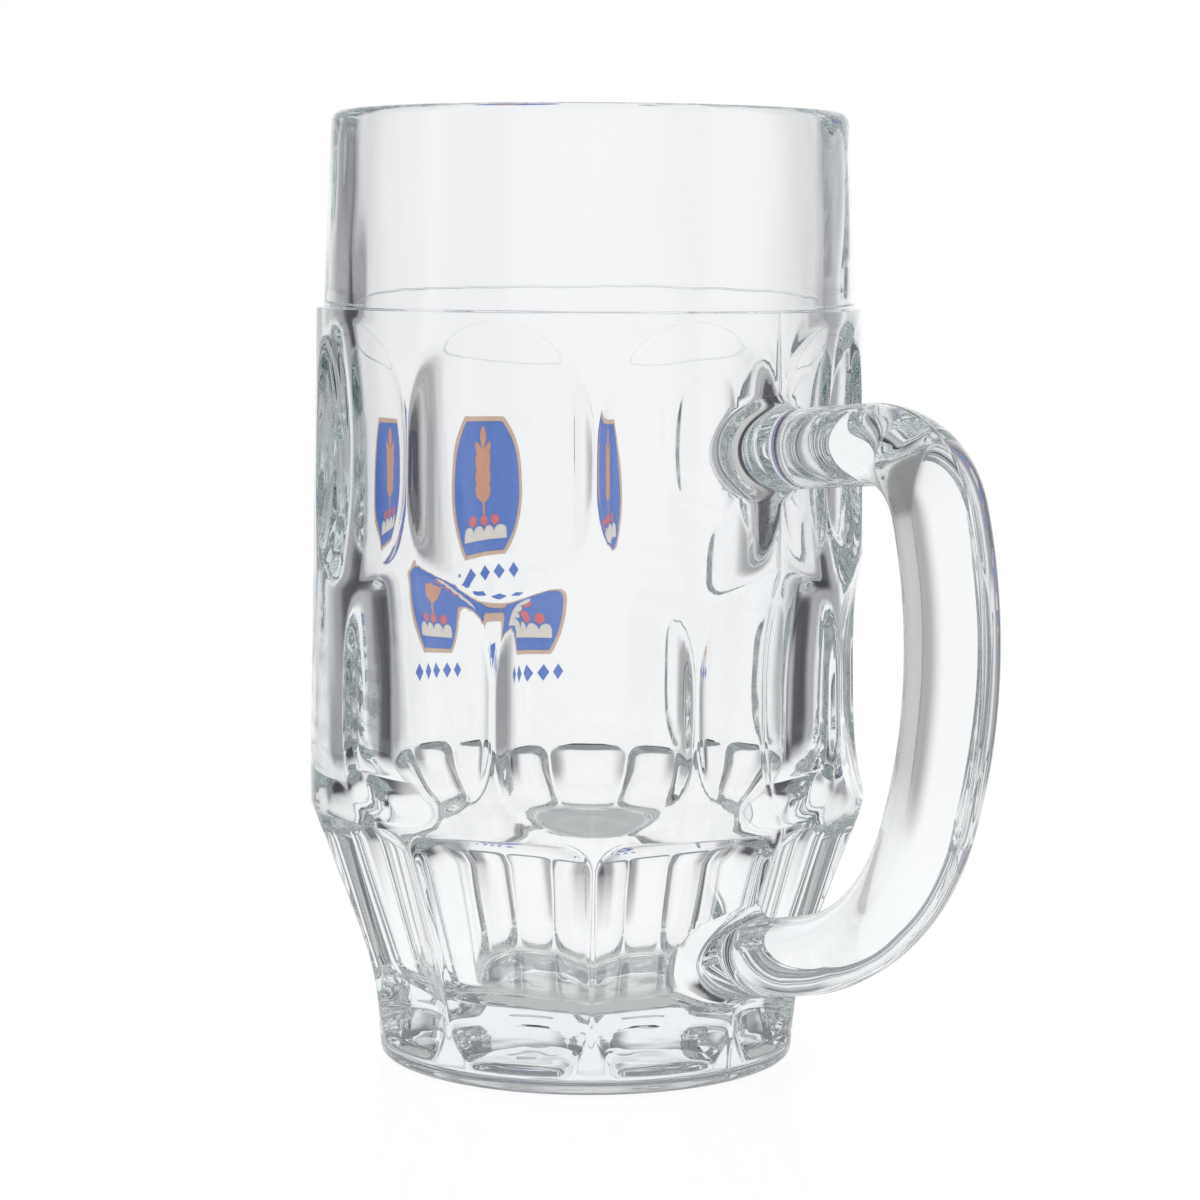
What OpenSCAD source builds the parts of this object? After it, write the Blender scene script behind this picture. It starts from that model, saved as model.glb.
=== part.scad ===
// Dimpled pressed-glass beer mug with a D-shaped handle and an enamel print.
// Frame: the mug's axis is Z, the table is z = 0 and the handle points along +X.

/* [Bowl] */
// Height of the mug from the table to the rim
mug_h = 157; // [145:1:175]
// Outer radius at the rim
rim_r = 42.6; // [41:0.1:46]
// Thickness of the glass at the rim
rim_wall = 3.2; // [2.5:0.1:4]
// Height of the plain drinking band under the rim
band_h = 32; // [24:0.2:40]
// Outer radius at the lower end of the drinking band
band_r = 44; // [42:0.1:46]
// How far the ledge under the band stands out
ledge_w = 1.2; // [0.5:0.1:2]
// Outer radius at the belly edge, the widest place
belly_r = 46.5; // [45:0.5:50]
// Height of the belly edge above the table
belly_z = 43; // [38:0.5:48]
// Thickness of the bottom plate
floor_t = 12; // [9:0.5:18]
// Radius of the round corner between floor and inner wall
floor_corner_r = 7; // [4:0.5:10]

/* [Foot] */
// Outer radius where the foot meets the table, before its corner is rounded
foot_r = 34.6; // [32:0.2:37]
// Radius of the round corner at the table
foot_corner_r = 1.2; // [1:0.1:4]
// Height of the plain ring at the base, below the flutes
ring_h = 15.6; // [12:0.2:18]
// How much wider the plain ring is at its top than at the table
ring_flare = 1.6; // [0.5:0.1:3]
// Radius of the hollow curve between the ring and the flared foot
foot_curve_r = 45; // [25:1:60]
// Number of flutes round the foot
flute_count = 9; // [7:1:11]
// Radius of the scoop that cuts one flute
flute_scoop_r = 32; // [26:1:45]
// Radius of the corners at the top of a flute
flute_corner_r = 6; // [3:0.5:8]
// Height of the plain strip between the flutes and the belly edge
flute_gap = 1.2; // [0.6:0.2:3]
// Thickness of the glass behind a flute
flute_wall = 3; // [2:0.1:4]

/* [Dimples] */
// Number of dimples that a full row would have
dimple_count = 9; // [8:1:10]
// Radius of the scoop that cuts one dimple, seen from above
dimple_scoop_r = 95; // [70:1:140]
// Width of the land between two dimples
land_w = 1.3; // [0.8:0.1:2.5]
// Curve of a dimple's upper end, seen from the side
dimple_top_curve_r = 11; // [8:0.5:16]
// Curve of a dimple's lower end, seen from the side
dimple_low_curve_r = 20; // [12:0.5:26]
// Thickness of the glass behind a dimple
dimple_wall = 3; // [2:0.1:4]
// Gap between the ledge and the upper row
upper_gap = 1.8; // [1:0.2:4]
// Place where the two rows meet, as a share of the height from the belly edge to the ledge
rows_share = 0.482; // [0.42:0.002:0.56]
// Gap between the two rows
rows_gap = 1.2; // [0.8:0.2:4]
// Gap between the lower row and the belly edge
lower_gap = 1.2; // [0.8:0.2:4]

/* [Handle] */
// Distance from the mug's axis to the handle's outermost face
handle_reach = 88.6; // [80:0.2:96]
// Thickness of the handle, across the finger gap
handle_t = 12.4; // [9:0.2:15]
// Width of the handle, side to side
handle_w = 16.6; // [11:0.2:18]
// Radius of the handle's long edges
handle_edge_r = 5; // [2:0.5:5.5]
// Height of the outermost point of the grip
grip_z = 74; // [70:0.5:80]
// Radius of the grip's curve
grip_r = 83; // [70:1:110]
// Turn of the grip above its outermost point, in degrees
grip_up_deg = 15.2; // [10:0.2:18]
// Turn of the grip below its outermost point, in degrees
grip_down_deg = 19.2; // [14:0.2:24]
// Radius of the elbow between grip and upper arm
elbow_r = 13; // [10:0.5:20]
// Rise of the upper arm towards the elbow, in degrees
arm_rise_deg = 5; // [0:0.5:9]
// Radius of the curve between grip and lower arm
heel_r = 35; // [25:1:40]
// Fall of the lower arm towards the foot, in degrees
arm_fall_deg = 12; // [6:0.5:16]
// Radius of the flare where an arm grows out of the bowl
root_flare = 4; // [2:0.5:6]

/* [Print] */
// Thickness of the fired enamel
print_t = 0.12; // [0.08:0.02:0.3]
// Turn of the print away from the handle, in degrees
print_deg = 171.5; // [160:0.5:200]
// Place of the middle of the print's field, as a share of the height from the belly edge to the ledge
field_share = 0.544; // [0.46:0.001:0.58]
// Width of the print's field
field_w = 31; // [22:0.5:36]
// Height of the print's field
field_h = 38; // [28:0.5:44]
// Curve of the field's two sides
field_side_r = 30; // [24:0.5:60]
// Width of the border round the field
border_w = 1.5; // [0.6:0.1:2.5]
// Length of one grain of the barley ear
grain_l = 6.6; // [4:0.1:8]
// Width of one grain of the barley ear
grain_w = 2.9; // [1.8:0.1:4]
// Tilt of a grain away from the stalk, in degrees
grain_tilt = 34; // [20:1:45]
// Pairs of grains on the ear
grain_pairs = 4; // [2:1:5]
// Spacing of the pairs of grains
grain_step = 3.5; // [2.4:0.1:4]
// Width of the ear's stalk
stalk_w = 1.1; // [0.5:0.1:1.6]
// Radius of one berry
berry_r = 1.8; // [1:0.1:2.4]
// Radius of one scallop of the foam band
scallop_r = 2.5; // [1.6:0.1:3]
// Number of scallops on the foam band
scallop_count = 4; // [3:1:5]
// Height of the straight part of the foam band
band_bar_h = 2.4; // [1:0.1:3]
// Height of one mark in the row under the field
mark_h = 5.4; // [3:0.1:7]
// Width of one mark in the row under the field
mark_w = 4.8; // [2:0.1:6]
// Number of marks in the row
mark_count = 5; // [3:1:6]
// Gap between the field's border and the row of marks
mark_gap = 3.2; // [1:0.1:5]

/* [Hidden] */
$fn = 96;

// Overrun of every cut past the glass that it cuts
overrun = 3;
// How far the end curves of a dimple reach below its floor, so that they meet it at an angle
trough_relief = 0.3;
// Round edges of the belly, the ledge and the rim
belly_edge_r = 0.8;
ledge_edge_r = 0.25;
rim_edge_share = 0.45;
rim_edge_r = rim_wall * rim_edge_share;
// Large soft turn of the inner wall above the foot
shoulder_curve_r = 30;
// Steps in which a round corner of an outline is drawn
corner_steps = 6;
// Steps along the flares and the curves of the handle
flare_steps = 5;
land_steps = 3;
elbow_steps = 9;
grip_steps = 12;
heel_steps = 9;

ledge_z = mug_h - band_h;
body_top_r = band_r + ledge_w;
body_taper = atan((belly_r - body_top_r) / (ledge_z - belly_z));
ring_top_r = foot_r + ring_flare;

// Outer radius of the dimpled body at height z
function body_r(z) = belly_r - (z - belly_z) * tan(body_taper);
// Outer radius of the flared foot at height z
function flare_r(z) = ring_top_r + (belly_r - ring_top_r) * (z - ring_h) / (belly_z - ring_h);
// Half the angle of a scoop that leaves a land of width land on radius r
function half_deg(r, count, land) = 180 / count - asin(land / 2 / r);
// Depth of a scoop of radius scoop that leaves the surface of radius r at angle deg
function scoop_depth(r, deg, scoop) =
    r * (1 - cos(deg)) + scoop - sqrt(scoop * scoop - pow(r * sin(deg), 2));

// Heights of the two rows of dimples
rows_z = belly_z + rows_share * (ledge_z - belly_z);
upper_low_z = rows_z + rows_gap / 2;
upper_top_z = ledge_z - upper_gap;
lower_low_z = belly_z + lower_gap;
lower_top_z = rows_z - rows_gap / 2;
dimple_pitch = 360 / dimple_count;
// Places of the dimples from the handle, on one side: the rest of each row is the print panel
upper_places = [0.5, 1.5, 2.5];
lower_places = [1, 2];

// The flutes: depth at both ends, and the lean of the scoop between them
flute_top_z = belly_z - flute_gap;
flute_pitch = 360 / flute_count;
flute_top_rim_r = flare_r(flute_top_z);
function flute_floor(r) = r - scoop_depth(r, half_deg(r, flute_count, land_w), flute_scoop_r);
flute_low_floor = flute_floor(ring_top_r);
flute_top_floor = flute_floor(flute_top_rim_r);
flute_lean = atan((flute_top_floor - flute_low_floor) / (flute_top_z - ring_h));

// The inner wall follows the floors of the flutes and of the lower dimples
lower_mid_r = body_r((lower_low_z + lower_top_z) / 2);
lower_depth = scoop_depth(lower_mid_r, half_deg(lower_mid_r, dimple_count, land_w), dimple_scoop_r);
bore_low_r = lower_mid_r - lower_depth - dimple_wall;
flute_bore_low_r = flute_low_floor - flute_wall / cos(flute_lean);
bore_floor_r = flute_bore_low_r - (ring_h - floor_t) * tan(flute_lean);
bore_turn_z = floor_t + (bore_low_r - bore_floor_r) / tan(flute_lean);

// Centres of the handle's three curves and the ends of its two arms
handle_mid_r = handle_reach - handle_t / 2;
grip_c = [handle_mid_r - grip_r, grip_z];
elbow_c = grip_c + (grip_r - elbow_r) * [cos(grip_up_deg), sin(grip_up_deg)];
heel_c = grip_c + (grip_r - heel_r) * [cos(grip_down_deg), -sin(grip_down_deg)];
arm_up_deg = 90 + arm_rise_deg;
arm_down_deg = arm_fall_deg - 90;
upper_arm = elbow_c + elbow_r * [cos(arm_up_deg), sin(arm_up_deg)];
lower_arm = heel_c + heel_r * [cos(arm_down_deg), sin(arm_down_deg)];
// Length of an arm from its curve to its end inside the glass, which is cut away
root_depth = 28;
// How far the widest ring of a flare lies under the surface that it grows out of
root_sink = 0.5;

// Height of the middle of the print's field
field_z = belly_z + field_share * (ledge_z - belly_z);
// Places on the print's field, as shares of its height from the middle
ear_foot_share = -0.17;
ear_first_share = -0.07;
berry_share = -0.22;
foam_share = -0.33;
// Sideways place of a berry and spacing of marks, as shares of their own widths
berry_side_share = 1.5;
mark_pitch_share = 1.35;
// Sector of the enamel's shell that the print is cut from, in degrees
print_sector = 60;

// Rounds corner p of an outline that runs from a to b, with radius r
function corner(a, p, b, r) =
    let (
        u = (a - p) / norm(a - p),
        v = (b - p) / norm(b - p),
        half = acos(max(-1, min(1, u * v))) / 2,
        c = p + (u + v) / norm(u + v) * r / sin(half),
        from = p + u * r / tan(half) - c,
        to = p + v * r / tan(half) - c,
        start = atan2(from.y, from.x),
        turn = atan2(from.x * to.y - from.y * to.x, from * to)
    )
    [for (i = [0 : corner_steps])
        let (deg = start + turn * i / corner_steps)
        c + r * [cos(deg), sin(deg)]];

// Rounds every corner of a closed outline whose points are [radius, height, corner radius]
function rounded(points) =
    let (n = len(points), flat = [for (p = points) [p.x, p.y]])
    [for (i = [0 : n - 1])
        each points[i].z == 0
            ? [flat[i]]
            : corner(flat[(i + n - 1) % n], flat[i], flat[(i + 1) % n], points[i].z)];

outer_points = [
    [foot_r, 0, foot_corner_r],
    [ring_top_r, ring_h, foot_curve_r],
    [belly_r, belly_z, belly_edge_r],
    [body_top_r, ledge_z, ledge_edge_r],
    [band_r, ledge_z, ledge_edge_r],
    [rim_r, mug_h, rim_edge_r]
];
inner_points = [
    [rim_r - rim_wall, mug_h, rim_edge_r],
    [bore_low_r, bore_turn_z, shoulder_curve_r],
    [bore_floor_r, floor_t, floor_corner_r]
];

// The glass wall before its dimples and flutes are pressed in
module plain_bowl() {
    rotate_extrude()
        polygon(rounded([[0, 0, 0], each outer_points, each inner_points, [0, floor_t, 0]]));
}

// Everything inside the plain outer form, as one solid
module outer_form() {
    rotate_extrude()
        polygon(rounded([[0, 0, 0], each outer_points, [0, mug_h, 0]]));
}

// A rectangle on the X axis with two corner radii: r_low at its lower end, r_top at its upper end
module arch_outline(w, h, r_low, r_top) {
    polygon(rounded([[w / 2, 0, r_low], [w / 2, h, r_top], [-w / 2, h, r_top], [-w / 2, 0, r_low]]));
}

// Side view of a scoop of the given depth and height, with one curve at each end
module trough_outline(h, depth, r_low, r_top) {
    low_end = sqrt(r_low * r_low - pow(r_low - depth, 2));
    top_end = sqrt(r_top * r_top - pow(r_top - depth, 2));
    translate([r_low - depth, low_end])
        circle(r = r_low);
    translate([r_top - depth, h - top_end])
        circle(r = r_top);
    translate([-depth, low_end])
        square([depth + overrun, h - low_end - top_end]);
}

// One dimple, cut into the body between two heights at a turn from the handle
module dimple(deg, low_z, top_z) {
    mid_r = body_r((low_z + top_z) / 2);
    edge_deg = half_deg(mid_r, dimple_count, land_w);
    depth = scoop_depth(mid_r, edge_deg, dimple_scoop_r);
    w = 2 * mid_r * sin(edge_deg);
    h = top_z - low_z;
    rotate([0, 0, deg])
        translate([body_r(low_z), 0, low_z])
            rotate([0, -body_taper, 0])
                intersection() {
                    translate([dimple_scoop_r - depth, 0, -overrun])
                        cylinder(r = dimple_scoop_r, h = h + 2 * overrun);
                    rotate([90, 0, 0])
                        linear_extrude(height = w + 2 * overrun, center = true)
                            trough_outline(h, depth + trough_relief, dimple_low_curve_r, dimple_top_curve_r);
                }
}

// Both rows of dimples, alike on both sides of the handle
module dimples() {
    for (place = upper_places, side = [-1, 1])
        dimple(side * place * dimple_pitch, upper_low_z, upper_top_z);
    dimple(0, lower_low_z, lower_top_z);
    for (place = lower_places, side = [-1, 1])
        dimple(side * place * dimple_pitch, lower_low_z, lower_top_z);
}

// One flute, a leaning scoop with a flat foot and a round-cornered top
module flute(deg) {
    h = flute_top_z - ring_h;
    w = 2 * flute_top_rim_r * sin(flute_pitch / 2);
    rotate([0, 0, deg])
        intersection() {
            translate([flute_low_floor, 0, ring_h])
                rotate([0, flute_lean, 0])
                    translate([flute_scoop_r, 0, -h])
                        cylinder(r = flute_scoop_r, h = 3 * h);
            translate([0, 0, ring_h])
                rotate([90, 0, 90])
                    linear_extrude(height = belly_r + overrun)
                        arch_outline(w, h, ledge_edge_r, flute_corner_r);
        }
}

module flutes() {
    for (i = [0 : flute_count - 1])
        flute((i + 0.5) * flute_pitch);
}

// Section of the handle, grown by a margin all round, counted from the outer face
function handle_section(margin) =
    let (t = handle_t / 2 + margin, w = handle_w / 2 + margin, r = handle_edge_r + margin)
    rounded([[t, -w, r], [t, 0, 0], [t, w, r], [-t, w, r], [-t, 0, 0], [-t, -w, r]]);

// How far the section has grown at a distance from the bowl, along a round flare
function flare_at(d) = root_flare - sqrt(root_flare * root_flare - pow(root_flare - max(d, 0), 2));

// Distance from the axis plane to the pressed glass at a root: two scoops meet there in a ridge
function scoop_x(y, floor_r, scoop, pitch) =
    let (c = (floor_r + scoop) * [cos(pitch / 2), sin(pitch / 2)])
    c.x - sqrt(scoop * scoop - pow(abs(y) - c.y, 2));
function upper_root_x(y, z) =
    let (r = body_r(z), deg = half_deg(r, dimple_count, land_w))
    scoop_x(y, r - scoop_depth(r, deg, dimple_scoop_r), dimple_scoop_r, dimple_pitch);
function lower_root_x(y, z) =
    scoop_x(y, flute_low_floor + (z - ring_h) * tan(flute_lean), flute_scoop_r, flute_pitch);
function root_x(upper, y, z) = upper ? upper_root_x(y, z) : lower_root_x(y, z);

// Goes from point p inwards along an arm until it stands d outside the pressed glass, in a few steps
function land_on(upper, p, y, inward, d, z, steps) =
    let (q = p + inward * (root_x(upper, y, z) + d - p.x) / inward.x)
    steps == 0 ? q : land_on(upper, p, y, inward, d, q.y, steps - 1);

// Rings of an arm, from its straight end inside the glass out along the flare
function arm_rings(upper, end, turn, fall) =
    let (inward = -[cos(fall), sin(fall)], side = [cos(turn), sin(turn)])
    [
        [for (q = handle_section(root_flare))
            let (p = end + inward * root_depth + side * q.x)
            [p.x, q.y, p.y]],
        for (i = [0 : flare_steps])
            let (d = i * root_flare / flare_steps)
            [for (q = handle_section(flare_at(d)))
                let (
                    start = end + side * q.x,
                    p = land_on(upper, start, q.y, inward, d - root_sink, start.y, land_steps)
                )
                [p.x, q.y, p.y]]
    ];

// A list from its last entry to its first
function reversed(list) = [for (i = [len(list) - 1 : -1 : 0]) list[i]];

// Rings of a curve about centre c, from one turn to another in degrees
function bend_rings(c, r, from, to, steps) =
    [for (i = [0 : steps])
        let (turn = from + (to - from) * i / steps, side = [cos(turn), sin(turn)])
        [for (q = handle_section(0)) let (p = c + side * (r + q.x)) [p.x, q.y, p.y]]];

// The section carried along the handle's whole path, from the upper root to the lower one
module handle_sweep() {
    rings = [
        each arm_rings(true, upper_arm, arm_up_deg, arm_rise_deg),
        each bend_rings(elbow_c, elbow_r, arm_up_deg, grip_up_deg, elbow_steps),
        each bend_rings(grip_c, grip_r, grip_up_deg, -grip_down_deg, grip_steps),
        each bend_rings(heel_c, heel_r, -grip_down_deg, arm_down_deg, heel_steps),
        each reversed(arm_rings(false, lower_arm, arm_down_deg, arm_fall_deg))
    ];
    m = len(rings[0]);
    last = len(rings) - 1;
    polyhedron(
        points = [for (ring = rings) each ring],
        faces = [
            [for (k = [m - 1 : -1 : 0]) k],
            for (i = [0 : last - 1], k = [0 : m - 1])
                each [
                    [i * m + k, i * m + (k + 1) % m, (i + 1) * m + (k + 1) % m],
                    [i * m + k, (i + 1) * m + (k + 1) % m, (i + 1) * m + k]
                ],
            [for (k = [0 : m - 1]) last * m + k]
        ]
    );
}

// Presses the dimples and the flutes into a form
module pressed() {
    difference() {
        children();
        dimples();
        flutes();
    }
}

// The part of the enamel's shell under an outline drawn on the print panel
module enamel() {
    low_z = belly_z + lower_gap;
    top_z = ledge_z - upper_gap;
    intersection() {
        rotate([0, 0, print_deg - print_sector / 2])
            rotate_extrude(angle = print_sector)
                polygon([
                    [body_r(low_z), low_z], [body_r(low_z) + print_t, low_z],
                    [body_r(top_z) + print_t, top_z], [body_r(top_z), top_z]
                ]);
        rotate([0, 0, print_deg])
            translate([0, 0, field_z])
                rotate([90, 0, 90])
                    linear_extrude(height = max(belly_r, body_top_r) + overrun)
                        children();
    }
}

// Barrel outline of the print's field, grown by a margin
module field_outline(margin) {
    intersection() {
        square([field_w + 2 * margin, field_h + 2 * margin], center = true);
        lens_outline(field_side_r + margin, field_side_r - field_w / 2);
    }
}

// The lens shape where two circles of radius r meet, each set off sideways
module lens_outline(r, offset_x) {
    intersection() {
        translate([-offset_x, 0])
            circle(r = r);
        translate([offset_x, 0])
            circle(r = r);
    }
}

// One grain, its foot at the origin and its length along +Y
module grain_outline() {
    r = (pow(grain_l / 2, 2) + pow(grain_w / 2, 2)) / grain_w;
    translate([0, grain_l / 2])
        lens_outline(r, r - grain_w / 2);
}

module ear_outline() {
    foot = ear_foot_share * field_h;
    first = ear_first_share * field_h;
    tip = first + grain_pairs * grain_step;
    translate([-stalk_w / 2, foot])
        square([stalk_w, tip - foot + stalk_w]);
    for (i = [0 : grain_pairs - 1], side = [-1, 1])
        translate([0, first + i * grain_step])
            rotate(-side * grain_tilt)
                grain_outline();
    translate([0, tip])
        grain_outline();
}

module berries_outline() {
    for (side = [-1, 0, 1])
        translate([side * berry_side_share * 2 * berry_r, berry_share * field_h])
            circle(r = berry_r);
}

module foam_outline() {
    pitch = 2 * scallop_r;
    bar_w = scallop_count * pitch;
    translate([-bar_w / 2, foam_share * field_h - band_bar_h])
        square([bar_w, band_bar_h]);
    for (i = [0 : scallop_count - 1])
        translate([(i + 0.5) * pitch - bar_w / 2, foam_share * field_h])
            intersection() {
                circle(r = scallop_r);
                translate([-scallop_r, 0])
                    square([pitch, scallop_r]);
            }
}

module marks_outline() {
    pitch = mark_w * mark_pitch_share;
    mid = -field_h / 2 - border_w - mark_gap - mark_h / 2;
    for (i = [0 : mark_count - 1])
        translate([(i - (mark_count - 1) / 2) * pitch, mid])
            polygon([[mark_w / 2, 0], [0, mark_h / 2], [-mark_w / 2, 0], [0, -mark_h / 2]]);
}

module glass_body() {
    color("lightsteelblue", 0.45)
        pressed()
            plain_bowl();
}

module handle() {
    color("lightcyan", 0.6)
        difference() {
            handle_sweep();
            pressed()
                outer_form();
        }
}

module print_border() {
    color("tan")
        enamel()
            difference() {
                field_outline(border_w);
                field_outline(0);
            }
}

module print_field() {
    color("royalblue")
        enamel()
            difference() {
                field_outline(0);
                ear_outline();
                berries_outline();
                foam_outline();
            }
}

module print_ear() {
    color("goldenrod")
        enamel()
            difference() {
                ear_outline();
                berries_outline();
            }
}

module print_berries() {
    color("crimson")
        enamel()
            berries_outline();
}

module print_band() {
    color("ivory")
        enamel()
            foam_outline();
}

module print_marks() {
    color("royalblue")
        enamel()
            marks_outline();
}

glass_body();
handle();
print_border();
print_field();
print_ear();
print_berries();
print_band();
print_marks();
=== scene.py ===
import bpy
import numpy as np
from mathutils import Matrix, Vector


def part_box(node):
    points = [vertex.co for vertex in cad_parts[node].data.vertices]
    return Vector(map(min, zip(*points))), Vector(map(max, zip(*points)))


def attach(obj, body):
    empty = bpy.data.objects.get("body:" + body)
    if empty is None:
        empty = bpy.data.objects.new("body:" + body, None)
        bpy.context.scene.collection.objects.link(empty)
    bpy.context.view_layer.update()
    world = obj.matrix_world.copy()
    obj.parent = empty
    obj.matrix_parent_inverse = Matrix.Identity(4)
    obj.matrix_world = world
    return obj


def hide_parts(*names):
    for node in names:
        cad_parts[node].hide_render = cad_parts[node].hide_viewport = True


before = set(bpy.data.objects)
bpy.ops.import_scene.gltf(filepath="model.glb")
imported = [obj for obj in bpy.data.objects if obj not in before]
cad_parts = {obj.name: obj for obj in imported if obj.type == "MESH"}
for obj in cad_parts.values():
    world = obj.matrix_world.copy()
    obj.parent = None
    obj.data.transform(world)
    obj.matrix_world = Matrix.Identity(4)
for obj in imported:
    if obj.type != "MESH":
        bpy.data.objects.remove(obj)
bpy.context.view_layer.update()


# The bowl of the mug: thick clear soda-lime glass, pressed in a mould with its drinking band, ledge, two rows
# of dimples, belly edge, fluted foot and heavy base. Fire polishing has rounded every edge a little.
MM = 0.001
rim_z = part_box("glass_body")[1].z / MM
rim_r, band_r, ledge_z, ledge_soft = 42.6, 44.0, 125.0, 0.35
body_top_r, belly_r, belly_z, belly_soft = 45.2, 46.5, 43.0, 0.4
foot_r, foot_corner_r, ring_top_r, ring_z, foot_soft = 34.6, 1.2, 36.2, 15.6, 2.2
edge_soft, seam_h, seam_w = 0.4, 0.12, 0.35

pitch = 40.0  # degrees from one dimple or flute to the next
dimple_depth, dimple_floor_r, dimple_floor_half, dimple_side_r = 3.9, 400.0, 11.0, 9.0
dimple_side_share, dimple_reach, crossing_rounds = 0.8, 0.6, 12
upper_middles, lower_middles = pitch * (np.arange(6) - 2.5), pitch * (np.arange(5) - 2.0)
upper_low_z, upper_low_curve_r, upper_top_z, upper_top_curve_r = 81.0, 45.0, 123.0, 55.0
lower_low_z, lower_low_curve_r, lower_top_z, lower_top_curve_r = 44.2, 28.0, 84.0, 45.0
flute_scoop_r, flute_low_floor, flute_top_floor = 32.0, 32.0, 39.7
flute_top_z, flute_top_curve_r = 42.6, 5.0
flute_low_z, flute_low_curve_r, flute_low_depth = 3.8, 21.0, 4.3
flute_reach, flute_clear = 0.65, 3

print_deg, print_half_deg, print_fade_deg = 171.5, 24.0, 4.0
print_low_z, print_top_z, print_fade, print_gap = 55.0, 111.0, 4.0, 0.05


def soft_min(a, b, k):
    """The smaller of two values. Where they are within k of each other, a parabola bridges them and rounds
    the corner."""
    h = np.clip(0.5 + 0.5 * (b - a) / k, 0, 1)
    return b + (a - b) * h - k * h * (1 - h)


def soft_max(a, b, k):
    """The larger of two values, with the same round corner."""
    return -soft_min(-a, -b, k)


def ramp(x, low, high):
    """Rises smoothly from 0 at low to 1 at high, as 3t^2 - 2t^3."""
    t = np.clip((x - low) / (high - low), 0, 1)
    return t * t * (3 - 2 * t)


def body_line(z):
    """Radius of the dimpled part: a straight cone from the belly edge to the ledge."""
    return belly_r + (body_top_r - belly_r) * (z - belly_z) / (ledge_z - belly_z)


def plain_radius(z):
    """Outer radius before pressing: ring cone and foot cone meet in a hollow curve, foot cone and body cone
    in the belly edge, and the drinking band steps back at the ledge."""
    ring = foot_r + (ring_top_r - foot_r) * z / ring_z
    foot = ring_top_r + (belly_r - ring_top_r) * (z - ring_z) / (belly_z - ring_z)
    body = soft_min(soft_max(ring, foot, foot_soft), body_line(z), belly_soft)
    band = band_r + (rim_r - band_r) * (z - ledge_z) / (rim_z - ledge_z)
    return body + (band - body) * ramp(z, ledge_z - ledge_soft / 2, ledge_z + ledge_soft / 2)


def end_rise(t, r, depth):
    """How far the floor of a scoop has risen at a distance t inside its end: a circular arc of radius r
    that is depth high at the end and runs out level."""
    run = np.sqrt(r * r - (r - depth) ** 2)
    return r - np.sqrt(r * r - np.clip(run - t, 0, r) ** 2)


def turned(deg, middle):
    """Signed angle from middle to deg, between -180 and 180 degrees."""
    return (deg - middle + 180) % 360 - 180


def flute_radius(turn, floor):
    """Radius at which a flute, its floor at radius floor, is met at an angle turn from its middle: the near
    crossing of a ray from the axis with the circle of the flute's section."""
    centre = floor + flute_scoop_r
    across = np.clip(centre * np.sin(np.radians(turn)), -flute_scoop_r, flute_scoop_r)
    cut = centre * np.cos(np.radians(turn)) - np.sqrt(flute_scoop_r * flute_scoop_r - across * across)
    return np.where(np.abs(turn) < flute_reach * pitch, cut, 2 * belly_r)


def dimple_radius(turn, floor):
    """Radius at which a dimple, its floor at radius floor, is met at an angle turn from its middle. Across its
    width the dimple is a pan: a nearly flat floor with an arc up each side. The crossing of a ray from the axis
    with it is found by repeating r = height(r sin) / cos."""
    sine, cosine = np.sin(np.radians(turn)), np.cos(np.radians(turn))
    r = floor / cosine
    for _ in range(crossing_rounds):
        across = np.abs(r * sine)
        flat = np.minimum(across, dimple_floor_half)
        side = np.clip(across - dimple_floor_half, 0, dimple_side_share * dimple_side_r)
        rise = flat**2 / (2 * dimple_floor_r) + dimple_side_r - np.sqrt(dimple_side_r**2 - side**2)
        r = (floor + rise) / cosine
    return np.where(np.abs(turn) < dimple_reach * pitch, r, 2 * belly_r)


def under_print(deg, z):
    """Share of the print's bed at a spot: 1 under the print, and smoothly down to 0 just outside it."""
    across = 1 - ramp(np.abs(turned(deg, print_deg)), print_half_deg, print_half_deg + print_fade_deg)
    low = ramp(z, print_low_z - print_fade, print_low_z)
    return across * low * (1 - ramp(z, print_top_z, print_top_z + print_fade))


def seam_ridge(deg, z):
    """Height of the mould's seam on the handle's side: a ridge of triangular section, below the ledge."""
    off = np.abs(turned(deg, 0)) * np.pi / 180 * belly_r
    return seam_h * np.maximum(1 - off / (2 * seam_w), 0) * (z < ledge_z)


def outer_radius(deg, z):
    """Outer radius of the pressed bowl: the plain radius less every dimple and flute, with soft edges, a hair
    less under the print, and more along the seam."""
    r = plain_radius(z)
    line = body_line(z)
    rows = (
        (upper_middles, upper_low_z, upper_low_curve_r, upper_top_z, upper_top_curve_r),
        (lower_middles, lower_low_z, lower_low_curve_r, lower_top_z, lower_top_curve_r),
    )
    for middles, low_z, low_curve_r, top_z, top_curve_r in rows:
        rise = end_rise(z - low_z, low_curve_r, dimple_depth)
        rise = rise + end_rise(top_z - z, top_curve_r, dimple_depth)
        for middle in middles:
            cut = dimple_radius(turned(deg, middle), line - dimple_depth + rise)
            r = soft_min(r, cut, edge_soft)
    lean = (flute_top_floor - flute_low_floor) / (flute_top_z - ring_z)
    floor = flute_low_floor + lean * (z - ring_z)
    depth = plain_radius(flute_top_z) - flute_top_floor
    rise = end_rise(flute_top_z - z, flute_top_curve_r, depth)
    rise = rise + end_rise(z - flute_low_z, flute_low_curve_r, flute_low_depth)
    rise = rise + flute_clear * depth * ((z > flute_top_z) | (z < flute_low_z))
    flute_middle = np.floor(deg / pitch) * pitch + pitch / 2
    cut = flute_radius(turned(deg, flute_middle), floor + rise)
    return soft_min(r, cut, edge_soft) - print_gap * under_print(deg, z) + seam_ridge(deg, z)


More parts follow.
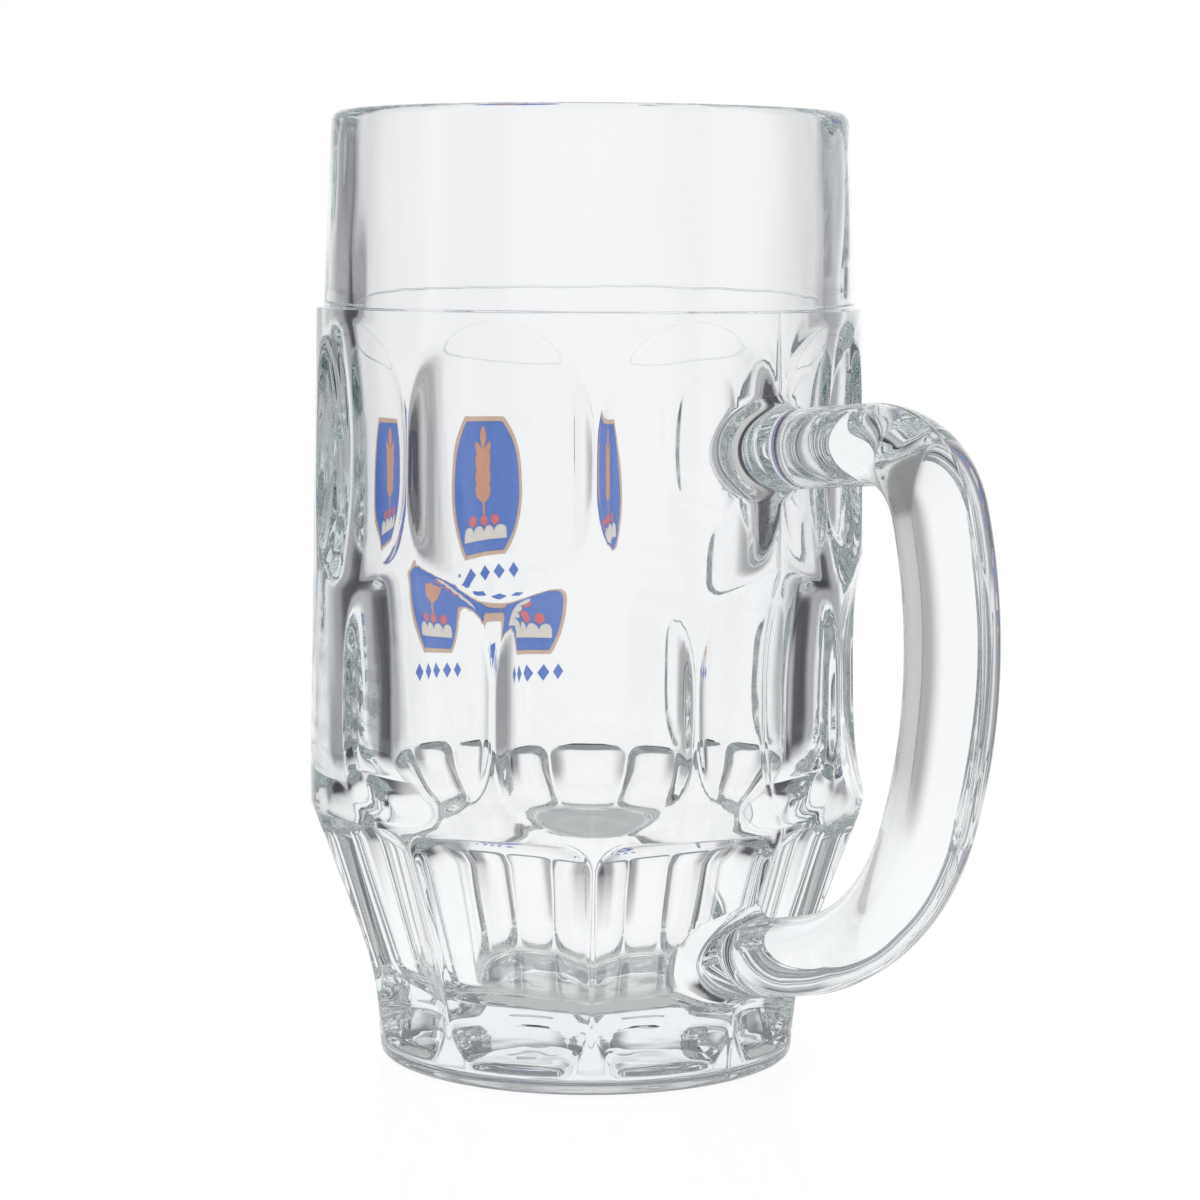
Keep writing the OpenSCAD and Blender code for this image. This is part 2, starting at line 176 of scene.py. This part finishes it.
def arc(middle_r, middle_z, r, first, last, steps):
    """Points of a profile's round corner, from one angle to another in degrees."""
    a = np.radians(np.linspace(first, last, steps))
    return np.stack([middle_r + r * np.cos(a), middle_z + r * np.sin(a)], -1)


def spread(*stops):
    """Heights from stop to stop: each stop is (height, steps up to the next one)."""
    parts = [np.linspace(a[0], b[0], a[1], endpoint=False) for a, b in zip(stops[:-1], stops[1:])]
    return np.concatenate(parts + [[stops[-1][0]]])


def closed_grid(name, points, first_pole, last_pole):
    """Mesh of a tube of rings: points has one row per ring, quads join neighbours round and along,
    and a fan to a pole closes each end."""
    rings, round_ = points.shape[:2]
    vertices = np.concatenate([points.reshape(-1, 3), [first_pole, last_pole]]) * MM
    here = np.arange(rings * round_).reshape(rings, round_)
    right = np.roll(here, -1, 1)
    quads = np.stack([here[:-1], right[:-1], right[1:], here[1:]], -1).reshape(-1, 4)
    first, last = rings * round_, rings * round_ + 1
    fans = np.concatenate([
        np.stack([right[0], here[0], np.full(round_, first)], -1),
        np.stack([here[-1], right[-1], np.full(round_, last)], -1),
    ])
    mesh = bpy.data.meshes.new(name)
    mesh.from_pydata(vertices.tolist(), [], quads.tolist() + fans.tolist())
    mesh.polygons.foreach_set("use_smooth", np.ones(len(mesh.polygons), bool))
    mesh.update()
    made = bpy.data.objects.new(name, mesh)
    bpy.context.scene.collection.objects.link(made)
    return made


# Columns of the mesh crowd together at the middles and edges of dimples and flutes, and its rows where the
# outline turns.
sector_deg, sector_steps, crowding = pitch / 2, 19, 0.6
sector = np.linspace(0, 1, sector_steps, endpoint=False)
sector = sector_deg * (sector - crowding * np.sin(2 * np.pi * sector) / (2 * np.pi))
degrees = (np.arange(round(360 / sector_deg))[:, None] * sector_deg + sector[None, :]).ravel()
bore_top_r, bore_low_r, bore_turn_z, bore_turn_r = 39.4, 37.8, 49.0, 30.0
rim_wall = rim_r - bore_top_r
heights = spread(
    (foot_corner_r, 6), (flute_low_z, 20), (17.0, 14), (34.0, 12), (42.8, 10), (44.2, 16), (58.0, 8),
    (72.0, 26), (98.0, 8), (112.0, 14), (ledge_z - 1.6, 3), (ledge_z - 0.3, 14), (ledge_z + 0.3, 6),
    (rim_z - rim_wall / 2, 1),
)
outer = outer_radius(degrees[None, :], heights[:, None])
outer = np.stack([outer, np.broadcast_to(heights[:, None], outer.shape)], -1)

# The underside is a shallow hollow with a rounded wall, and the mug stands on the narrow ring round it.
hollow_r, hollow_h, hollow_edge_r, hollow_dish, hollow_pole_r = 31.6, 2.6, 2.2, 0.3, 6.0
hollow = np.concatenate([
    np.linspace(hollow_pole_r, hollow_r - hollow_edge_r, 7),
    hollow_r - hollow_edge_r * np.linspace(0.9, 0, 14) ** 1.5,
])
wall_share = np.clip((hollow - hollow_r + hollow_edge_r) / hollow_edge_r, 0, 1)
hollow_top = hollow_h * (1 - hollow_dish * (hollow / hollow_r) ** 2) * np.sqrt(1 - wall_share**2)
ring_lean = np.arctan2(ring_top_r - foot_r, ring_z)
foot_corner_mid_r = foot_r - foot_corner_r * (1 - np.sin(ring_lean)) / np.cos(ring_lean)
base = [
    np.stack([hollow, hollow_top], -1),
    arc(foot_corner_mid_r, foot_corner_r, foot_corner_r, -90, -np.degrees(ring_lean), 10),
]

# The bore runs from the round rim down to the foot, turns in there, and ends in a flat floor.
bore_step, bore_step_z, bore_step_half = 0.1, 131.0, 5.0
bore_floor_r, floor_z, floor_corner_r, floor_rings = 27.0, 12.0, 7.0, (15.0, 7.5)
bore_heights = spread((150.0, 4), (138.0, 10), (122.0, 4), (62.0, 1))


def bore_radius(z):
    """Radius of the bore: a long taper for the plunger's draw, with a faint smooth step below the band."""
    draw = (bore_top_r - bore_step - bore_low_r) * (rim_z - z) / (rim_z - bore_turn_z)
    return bore_top_r - draw - bore_step * ramp(bore_step_z - z, -bore_step_half, bore_step_half)


slope = np.degrees(np.arctan2(bore_turn_z - floor_z, bore_low_r - bore_floor_r))
bore_turn_mid_z = bore_turn_z + bore_turn_r * np.tan(np.radians(90 - slope) / 2)
floor_middle_r = bore_floor_r - floor_corner_r / np.tan(np.radians(180 - slope) / 2)
inner = [
    arc(rim_r - rim_wall / 2, rim_z - rim_wall / 2, rim_wall / 2, 15, 180, 12),
    np.stack([bore_radius(bore_heights), bore_heights], -1),
    arc(bore_low_r - bore_turn_r, bore_turn_mid_z, bore_turn_r, 0, slope - 90, 13),
    np.array([[0.5 * (bore_low_r + bore_floor_r), 0.5 * (bore_turn_z + floor_z)]]),
    arc(floor_middle_r, floor_z + floor_corner_r, floor_corner_r, slope - 90, -90, 18),
    np.array([[r, floor_z] for r in floor_rings]),
]


def all_round(parts):
    """The parts of a profile, one after the other, at every angle of the mesh."""
    line = np.concatenate(parts)
    return np.broadcast_to(line[:, None], (len(line), len(degrees), 2))


profile = np.concatenate([all_round(base), outer, all_round(inner)])
turns = np.radians(degrees)
bowl_points = np.stack(
    [profile[..., 0] * np.cos(turns), profile[..., 0] * np.sin(turns), profile[..., 1]], -1
)
bowl = closed_grid("pressed_glass", bowl_points, (0, 0, hollow_h), (0, 0, floor_z))


# The handle: a D of solid glass with a full oval section, pressed in the same mould as the bowl. Both of its
# roots widen in a flare that grows out of the ridge between two dimples above and two flutes below.
handle_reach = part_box("handle")[1].x / MM
handle_t, handle_w = 12.4, 16.6
grip_z, grip_r, grip_up, grip_down = 74.0, 83.0, 15.2, 19.2
elbow_r, arm_rise, heel_r, arm_fall = 13.0, 5.0, 35.0, 12.0
root_flare, root_sink, root_depth, root_crowding = 4.5, 0.6, 1.0, 1.4
root_reach, root_halvings = 30.0, 30


def section(margin):
    """Section of the handle grown by a margin, as (outwards, sideways) points: an ellipse, with a fine ridge on
    both faces where the two halves of the mould met. The points are closest on the ridge."""
    quarter = np.radians(np.concatenate([[0, 1.2, 2.4, 4], np.linspace(6, 90, 20)]))
    half = np.concatenate([quarter, np.pi - quarter[-2::-1]])
    a = np.concatenate([half, -half[-2:0:-1]])
    u = (handle_t / 2 + margin) * np.cos(a)
    v = (handle_w / 2 + margin) * np.sin(a)
    ridge = seam_h * np.maximum(1 - np.abs(v) / seam_w, 0)
    return np.stack([u + ridge * np.sign(u), v], -1)


def along(path_x, path_z, turn, margin):
    """Rings of the handle: at each station the section stands in the plane that holds the outward
    direction turn, in degrees, and the sideways Y axis."""
    outline = np.stack([section(m) for m in margin])
    turn = np.radians(turn)[:, None]
    x = path_x[:, None] + outline[..., 0] * np.cos(turn)
    z = path_z[:, None] + outline[..., 0] * np.sin(turn)
    return np.stack([x, outline[..., 1], z], -1)


def heading(deg):
    """Unit vector at an angle above the X axis, in degrees, as (x, z)."""
    return np.array([np.cos(np.radians(deg)), np.sin(np.radians(deg))])


def bend(middle, r, first, last, steps):
    """Rings round a bend of the handle's middle line: a circular arc of radius r about middle."""
    turn = np.linspace(first, last, steps, endpoint=False)
    path_x, path_z = middle[:, None] + r * heading(turn)
    return along(path_x, path_z, turn, np.zeros(steps))


def root(end, turn, slope, steps):
    """Rings of a root, from inside the glass to the arm: each point slides inwards along the arm, by halving
    the search, until it stands a set distance off the pressed bowl, while the section narrows on an arc."""
    off = np.concatenate([[-root_depth], np.linspace(0, 1, steps) ** root_crowding * root_flare])
    margin = root_flare - np.sqrt(root_flare**2 - (root_flare - np.maximum(off, 0)) ** 2)
    start = along(np.full(steps + 1, end[0]), np.full(steps + 1, end[1]), np.full(steps + 1, turn), margin)
    inward = -np.array([np.cos(np.radians(slope)), 0, np.sin(np.radians(slope))])
    low, high = np.zeros(start.shape[:2]), np.full(start.shape[:2], root_reach)
    for _ in range(root_halvings):
        middle = (low + high) / 2
        p = start + middle[..., None] * inward
        deg = np.degrees(np.arctan2(p[..., 1], p[..., 0]))
        gap = np.hypot(p[..., 0], p[..., 1]) - outer_radius(deg, p[..., 2])
        outside = gap > off[:, None] - root_sink
        low, high = np.where(outside, middle, low), np.where(outside, high, middle)
    return start + low[..., None] * inward


grip_c = np.array([handle_reach - handle_t / 2 - grip_r, grip_z])
elbow_c = grip_c + (grip_r - elbow_r) * heading(grip_up)
heel_c = grip_c + (grip_r - heel_r) * heading(-grip_down)
upper_turn, lower_turn = 90 + arm_rise, arm_fall - 90
handle_points = np.concatenate([
    root(elbow_c + elbow_r * heading(upper_turn), upper_turn, arm_rise, 13),
    bend(elbow_c, elbow_r, upper_turn, grip_up, 30),
    bend(grip_c, grip_r, grip_up, -grip_down, 26),
    bend(heel_c, heel_r, -grip_down, lower_turn, 30),
    root(heel_c + heel_r * heading(lower_turn), lower_turn, arm_fall, 13)[::-1],
])
handle = closed_grid("handle_glass", handle_points, handle_points[0].mean(0), handle_points[-1].mean(0))


# The casting: bowl and handle leave the mould as one piece of glass, so the two shapes are joined into one
# closed mesh. The glass is clear with a faint grey-green depth, and fire polishing leaves a slow ripple.
glass_ior, glass_tint, tint_density = 1.51, (0.915, 0.935, 0.938, 1), 26.0
ripple_h, ripple_scale, ripple_stretch = 0.3, 90.0, 0.3
join = bowl.modifiers.new("one_casting", "BOOLEAN")
join.operation, join.solver, join.object = "UNION", "EXACT", handle
casting = bpy.data.meshes.new_from_object(bowl.evaluated_get(bpy.context.evaluated_depsgraph_get()))
bowl.modifiers.clear()
bowl.data = casting
bpy.data.objects.remove(handle)


class Socket:
    """An output of a shader node: Python's operators on it add Math nodes, and node() adds any other node."""

    def __init__(self, tree, link=None):
        self.tree, self.link = tree, link

    def node(self, kind, settings=(), out=0, **values):
        """Adds a node and gives one of its outputs. Its settings are set first; then each input gets a value
        or a link, by its name with _ for a space, or by i and its number."""
        made = self.tree.nodes.new("ShaderNode" + kind)
        for key, value in dict(settings).items():
            setattr(made, key, value)
        for key, value in values.items():
            numbered = key[0] == "i" and key[1:].isdigit()
            target = made.inputs[int(key[1:]) if numbered else key.replace("_", " ")]
            if isinstance(value, Socket):
                value.into(target)
            else:
                target.default_value = value
        return Socket(self.tree, made.outputs[out])

    def into(self, target):
        self.tree.links.new(self.link, target)

    def math(self, operation, other):
        return self.node("Math", {"operation": operation}, i0=self, i1=other)

    def __mul__(self, other):
        return self.math("MULTIPLY", other)

    def __add__(self, other):
        return self.math("ADD", other)

    def __rsub__(self, other):
        return self.node("Math", {"operation": "SUBTRACT"}, i0=other, i1=self)

    __rmul__, __radd__ = __mul__, __add__


def finish_of(name, **values):
    """A new material and its main shader, with the shader's inputs set to the values."""
    made = bpy.data.materials.new(name)
    made.use_nodes = True
    shader = made.node_tree.nodes["Principled BSDF"]
    for key, value in values.items():
        shader.inputs[key.replace("_", " ")].default_value = value
    return made, shader


glass, skin = finish_of(
    "clear_glass", Base_Color=(1, 1, 1, 1), Roughness=0.0, IOR=glass_ior, Transmission_Weight=1.0
)
inside = Socket(glass.node_tree)
place = inside.node("TexCoord", out="Object")
place = inside.node("Mapping", Vector=place, Scale=(1, 1, ripple_stretch))
ripple = inside.node("TexNoise", out="Fac", Vector=place, Scale=ripple_scale, Detail=1.0)
inside.node("Bump", Height=ripple, Distance=ripple_h * MM).into(skin.inputs["Normal"])
depth_tint = inside.node("VolumeAbsorption", Color=glass_tint, Density=tint_density)
depth_tint.into(glass.node_tree.nodes["Material Output"].inputs["Volume"])
casting.materials.clear()
casting.materials.append(glass)
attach(bowl, "root")
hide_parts("glass_body", "handle")


# The print: five screened colours of glass enamel, fired onto the smooth panel opposite the handle. Each colour
# is a thin glossy layer that lets most light through, with the grain of the screen in it.
enamel_through, enamel_loss, enamel_ior = 0.92, 0.83, 1.5
enamel_grain, grain_scale, grain_low, grain_high = 0.08, 420.0, 0.3, 0.7
coat_depth, coat_rough, coat_rough_grain = 0.92, 0.12, 0.15


def blend(share, first, second):
    """A colour between two: the first where share is 0, the second where it is 1."""
    return share.node("Mix", {"data_type": "RGBA"}, out=2, i0=share, i6=first, i7=second)


def enamel(name, colour):
    """Enamel of one colour: a glossy coat mixed with light that comes through from behind, in shares that the
    grain of the screen changes a little from spot to spot. That light crosses both faces of the film, so each
    face has the square root of the colour, raised for what is lost on the way."""
    made, coat = finish_of(name, IOR=enamel_ior)
    inside = Socket(made.node_tree)
    place = inside.node("TexCoord", out="Object")
    cloud = inside.node("TexNoise", out="Fac", Vector=place, Scale=grain_scale, Detail=4.0)
    thick = inside.node("MapRange", Value=cloud, i1=grain_low, i2=grain_high, i3=0.0, i4=1.0)
    thin_colour = tuple(coat_depth * c + enamel_grain for c in colour) + (1,)
    full_colour = tuple(coat_depth * c for c in colour) + (1,)
    blend(thick, thin_colour, full_colour).into(coat.inputs["Base Color"])
    (cloud * coat_rough_grain + coat_rough).into(coat.inputs["Roughness"])
    film = tuple(float(c) for c in np.sqrt(np.array(colour) / enamel_loss))
    behind = inside.node("BsdfTranslucent", Color=film + (1,))
    through = enamel_through + enamel_grain * 0.5 - enamel_grain * thick
    both = inside.node("MixShader", i0=through, i1=Socket(made.node_tree, coat.outputs[0]), i2=behind)
    both.into(made.node_tree.nodes["Material Output"].inputs["Surface"])
    return made


blue = enamel("blue_enamel_coat", (0.08, 0.176, 0.531))
coats = {
    "print_border": enamel("tan_enamel_coat", (0.586, 0.424, 0.34)),
    "print_field": blue,
    "print_ear": enamel("gold_enamel_coat", (0.572, 0.289, 0.199)),
    "print_berries": enamel("red_enamel_coat", (0.628, 0.14, 0.161)),
    "print_band": enamel("white_enamel_coat", (0.68, 0.643, 0.6)),
    "print_marks": blue,
}
for node, coat in coats.items():
    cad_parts[node].data.materials.clear()
    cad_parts[node].data.materials.append(coat)


# The studio that the glass shows: a white sweep behind the mug, a dark card at each side that draws the edges,
# a pale room in front with a small dark flag at its left, and a grey ceiling. The light itself is plain white.
scene = bpy.context.scene
scene.view_settings.view_transform = "Standard"
light_bounces = 64
scene.cycles.max_bounces = light_bounces
scene.cycles.transmission_bounces = light_bounces
scene.cycles.glossy_bounces = light_bounces
view_deg = 48.6
white, sweep_tone, card_tone = (1, 1, 1, 1), (0.98, 0.99, 1.0, 1), (0.06, 0.06, 0.075, 1)
room_tone, flag_tone, ceiling_tone = (0.62, 0.61, 0.6, 1), (0.15, 0.15, 0.16, 1), (0.26, 0.26, 0.27, 1)
card_steps = ((0.72, -17.0, -31.0), (0.28, -39.0, -47.0), (0.62, 18.0, 38.0), (0.38, 48.0, 60.0))
room_edges = ((-66.0, -86.0), (76.0, 92.0))
flag_right, flag_left = (-106.0, -118.0), (-150.0, -138.0)
ceiling_low, ceiling_full = 0.25, 0.7
from_deg = np.radians(view_deg)
away = np.array([np.sin(from_deg), -np.cos(from_deg)])
right = np.array([np.cos(from_deg), np.sin(from_deg)])


def smooth(value, low, high):
    """A value's smooth step from 0 at low to 1 at high, where high may also be the smaller of the two."""
    settings = {"interpolation_type": "SMOOTHSTEP"}
    flip = low > high
    low, high = min(low, high), max(low, high)
    return value.node("MapRange", settings, i0=value, i1=low, i2=high, i3=float(flip), i4=float(not flip))


def studio_tone(direction):
    """Colour of the studio in a direction. By the angle from straight behind the mug, in degrees to the right,
    the sweep darkens in steps to a card on each side, and then comes the room with its flag. Upwards all of it
    turns into the ceiling."""
    x, y, up = (direction.node("SeparateXYZ", out=axis, Vector=direction) for axis in "XYZ")
    across = x * float(right[0]) + y * float(right[1])
    behind = x * float(-away[0]) + y * float(-away[1])
    turn = across.math("ARCTAN2", behind) * (180 / np.pi)
    dark = sum(share * smooth(turn, pale, full) for share, pale, full in card_steps)
    room = sum(smooth(turn, *edge) for edge in room_edges)
    flag = smooth(turn, *flag_right) * smooth(turn, *flag_left)
    walls = blend(flag, blend(room, blend(dark, sweep_tone, card_tone), room_tone), flag_tone)
    return blend(smooth(up, ceiling_low, ceiling_full), walls, ceiling_tone)


def rays(socket, *kinds):
    """For each kind of ray, a value that is 1 where such a ray is looking."""
    return [socket.node("LightPath", out=f"Is {kind} Ray") for kind in kinds]


scene.world = bpy.data.worlds.new("studio")
scene.world.use_nodes = True
tree = scene.world.node_tree
tree.nodes["Background"].inputs["Color"].default_value = white
light = Socket(tree, tree.nodes["Background"].outputs[0])
camera_ray, glossy_ray, through_ray, soft_ray = rays(light, "Camera", "Glossy", "Transmission", "Diffuse")
pattern = studio_tone(light.node("TexCoord", out="Generated"))
backdrop = light.node("Background", Color=blend(camera_ray, pattern, white))
looked_at = (camera_ray + glossy_ray + through_ray).math("MINIMUM", 1.0) * (1 - soft_ray)
either = light.node("MixShader", i0=looked_at, i1=light, i2=backdrop)
either.into(tree.nodes["World Output"].inputs["Surface"])


# The floor: a disc of white paper with a faint gloss that takes the mug's shadow. Seen in the glass it is white
# round the foot, with a grey painted shadow under it, and further out it gives way to the studio.
floor_r, floor_drop, floor_sides = 220.0, 0.05, 96
floor_shade, floor_lit, floor_rough, floor_gloss, gloss_rough = 0.09, 0.95, 0.9, 0.04, 0.08
# The grey tone and its edges, in mm from the middle, are a painted shadow under the foot, seen only in the
# glass.
painted_shadow_tone, painted_shadow_edge, floor_fade = (0.5, 0.51, 0.51, 1), (42.0, 30.0), (85.0, 190.0)
floor_turn = np.radians(np.arange(floor_sides) * 360 / floor_sides)
floor_points = np.stack(
    [floor_r * np.cos(floor_turn), floor_r * np.sin(floor_turn), np.full(floor_sides, -floor_drop)], -1
)
floor_mesh = bpy.data.meshes.new("floor")
floor_mesh.from_pydata((floor_points * MM).tolist(), [], [list(range(floor_sides))])
floor = bpy.data.objects.new("floor", floor_mesh)
scene.collection.objects.link(floor)
sheet, paper = finish_of(
    "white_floor",
    Base_Color=(floor_shade, floor_shade, floor_shade, 1),
    Roughness=floor_rough,
    Specular_IOR_Level=0.0,
    Emission_Color=(floor_lit, floor_lit, floor_lit, 1),
    Emission_Strength=1.0,
)
paper = Socket(sheet.node_tree, paper.outputs[0])
coated = paper.node("MixShader", i0=floor_gloss, i1=paper, i2=paper.node("BsdfGlossy", Roughness=gloss_rough))
glossy_ray, through_ray, soft_ray = rays(paper, "Glossy", "Transmission", "Diffuse")
spot = paper.node("TexCoord", out="Object")
away_r = paper.node("VectorMath", {"operation": "LENGTH"}, out="Value", i0=spot)
# Painted shadow: the floor that the glass sees turns grey within about 30 to 42 mm of the middle, as shade
# under the mug.
under = smooth(away_r, *(edge * MM for edge in painted_shadow_edge))
in_glass = paper.node("Emission", Color=blend(under, sweep_tone, painted_shadow_tone))
fade = smooth(away_r, *(edge * MM for edge in floor_fade))
in_glass = paper.node("MixShader", i0=fade, i1=in_glass, i2=paper.node("BsdfTransparent"))
seen_in_glass = (glossy_ray + through_ray).math("MINIMUM", 1.0) * (1 - soft_ray)
either = paper.node("MixShader", i0=seen_in_glass, i1=coated, i2=in_glass)
either.into(sheet.node_tree.nodes["Material Output"].inputs["Surface"])
floor_mesh.materials.append(sheet)


# The camera stands where the photograph was taken from, a little below the height of the rim, with a long lens
# that is tilted down by six degrees.
view_z, view_distance, view_side, lean_deg = 134.8, 560.0, 1.7, -0.3
frame_px, focal_px, eye_px, sensor_w = 1200, 3360.0, 248.0, 36.0
camera = bpy.data.objects.new("camera", bpy.data.cameras.new("camera"))
scene.collection.objects.link(camera)
scene.camera = camera
camera.data.sensor_width = sensor_w
camera.data.lens = sensor_w * focal_px / frame_px
camera.location = (away[0] * view_distance * MM, away[1] * view_distance * MM, view_z * MM)
tilt = np.arctan2(frame_px / 2 - eye_px, focal_px)
turn = np.arctan2(view_side, view_distance)
camera.rotation_euler = (np.pi / 2 - tilt, np.radians(lean_deg), from_deg - turn)
